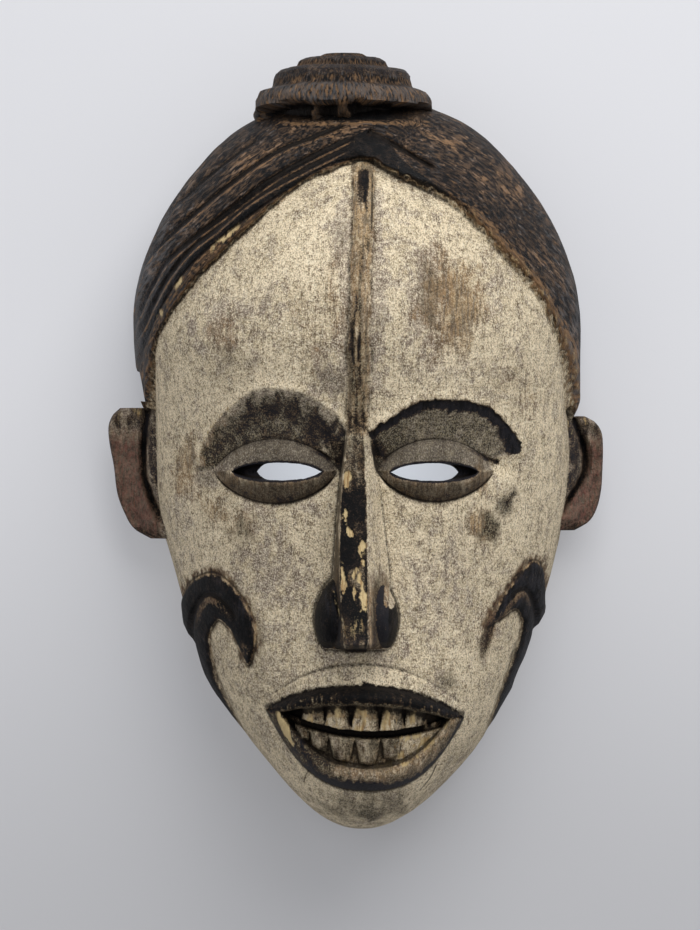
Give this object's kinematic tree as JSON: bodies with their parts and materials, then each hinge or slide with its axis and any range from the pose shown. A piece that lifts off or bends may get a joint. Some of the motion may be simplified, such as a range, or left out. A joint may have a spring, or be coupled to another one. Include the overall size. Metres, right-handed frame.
{
  "type": "carved wooden face mask",
  "caption": "Carved wooden mask of Igbo type with white face, dark hair cap, stepped knot, raised cheek scars and bared teeth",
  "frame": {"origin": "middle of the outline at the plane of the back rim, on which the mask lies", "axes": "+X the viewer's right, +Y from chin to crown, +Z out of the face"},
  "size_m": [0.2174, 0.3366, 0.1302],
  "materials": {
    "painted_wood": "matt white clay paint over carved wood, black and brown pigment on hair, brows, nose, lips and scars, worn and stained"
  },
  "bodies": {
    "root": {"mask": "painted_wood"}
  },
  "joints": []
}
